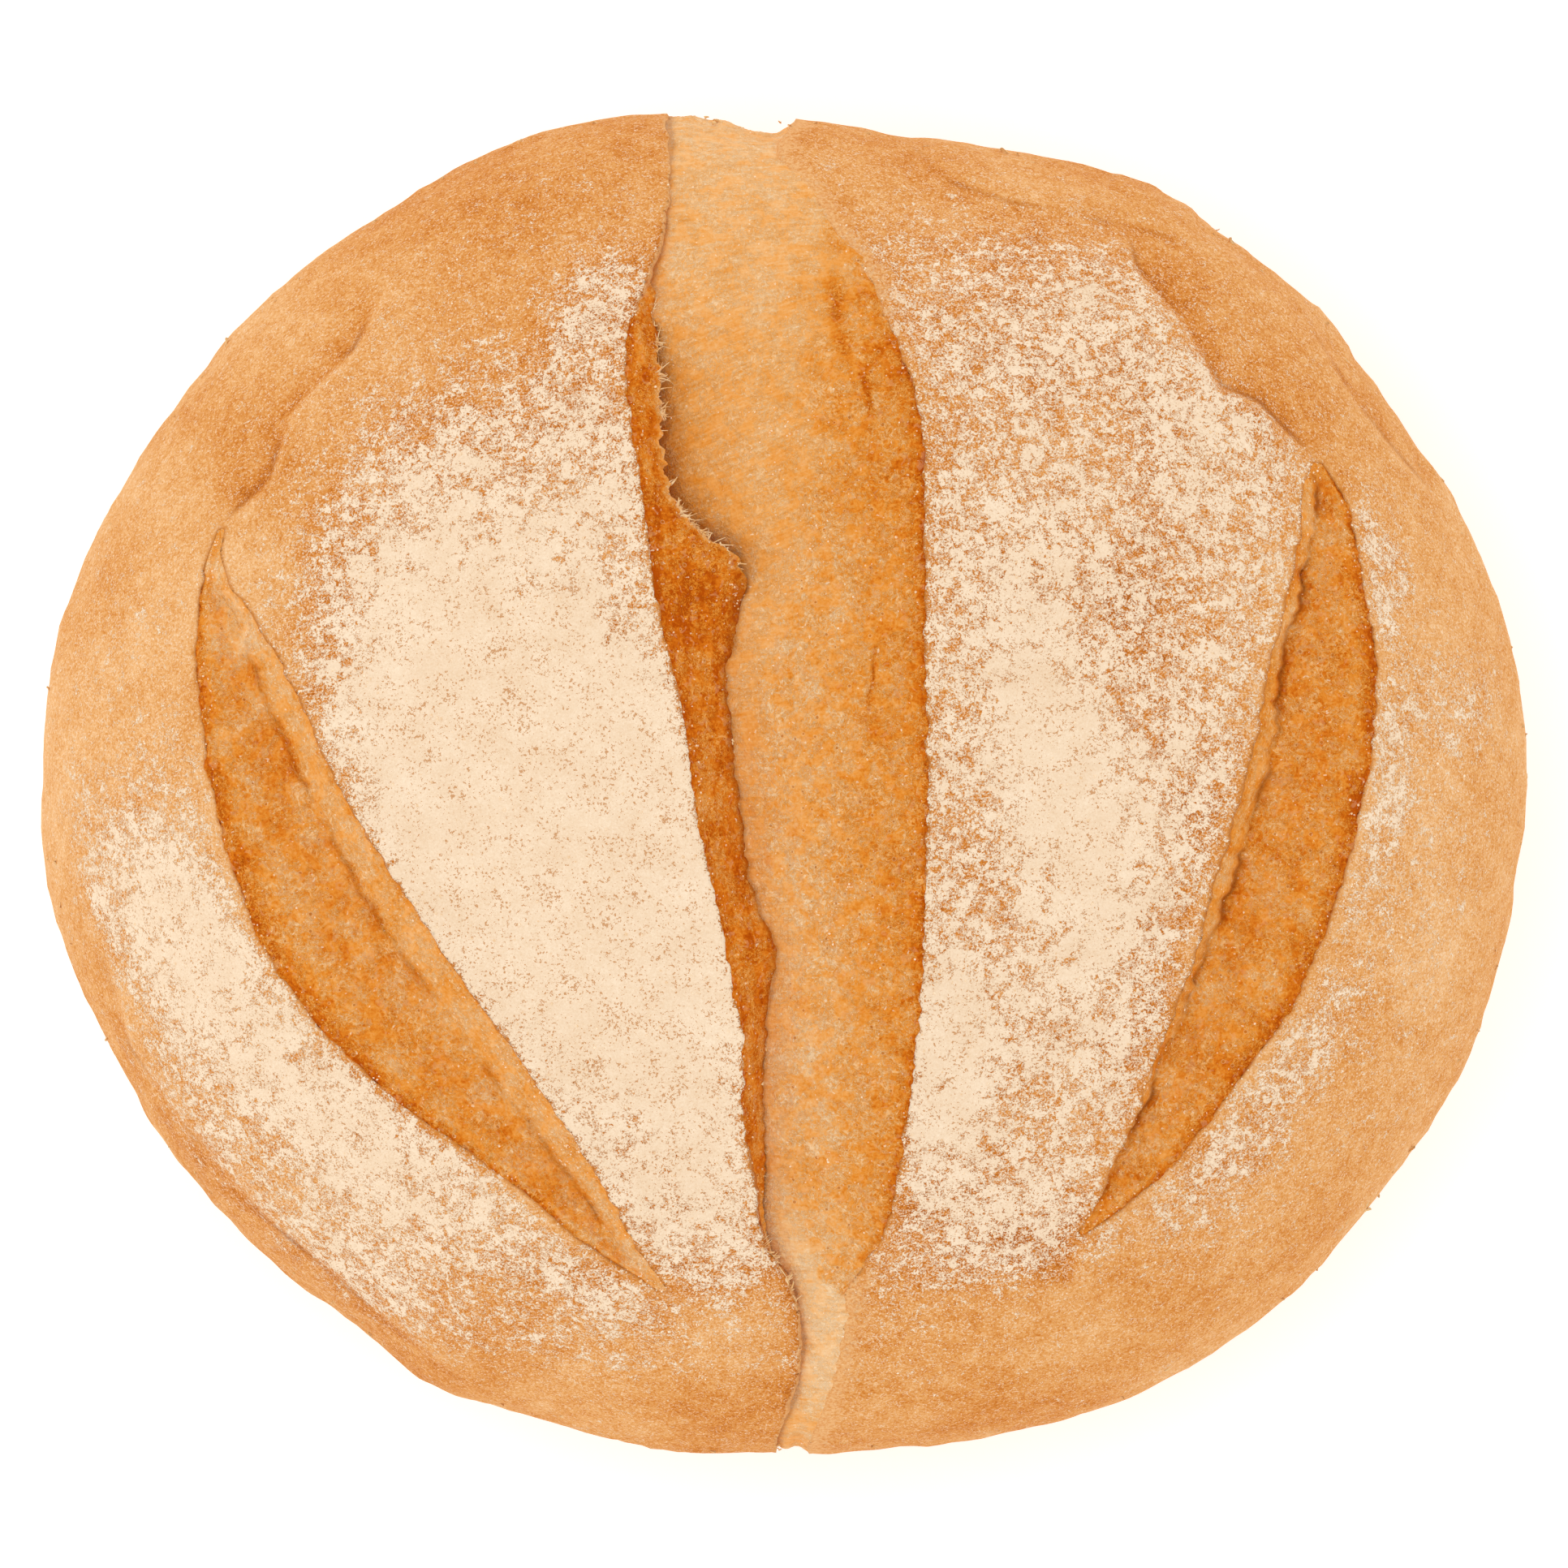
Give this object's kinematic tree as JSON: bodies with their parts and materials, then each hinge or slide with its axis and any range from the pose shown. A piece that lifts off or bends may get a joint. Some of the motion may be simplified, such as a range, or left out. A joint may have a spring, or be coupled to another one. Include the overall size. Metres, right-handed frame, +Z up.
{
  "type": "cob loaf",
  "caption": "Round hand-slashed cob loaf of white bread with a floured golden crust, torn-open slashes and a flat sole to stand on.",
  "frame": {"origin": "middle of the loaf's bounding box on the surface that it stands on", "axes": "+Z up from the sole; +X along the loaf's width, across the slashes; +Y towards the end where the middle slash tore open widest"},
  "size_m": [0.205, 0.1856, 0.0925],
  "materials": {
    "crust": "matt golden baked crust, dusted with flour, with orange-brown open crumb in the slashes"
  },
  "bodies": {
    "root": {"loaf": "crust"}
  },
  "joints": []
}
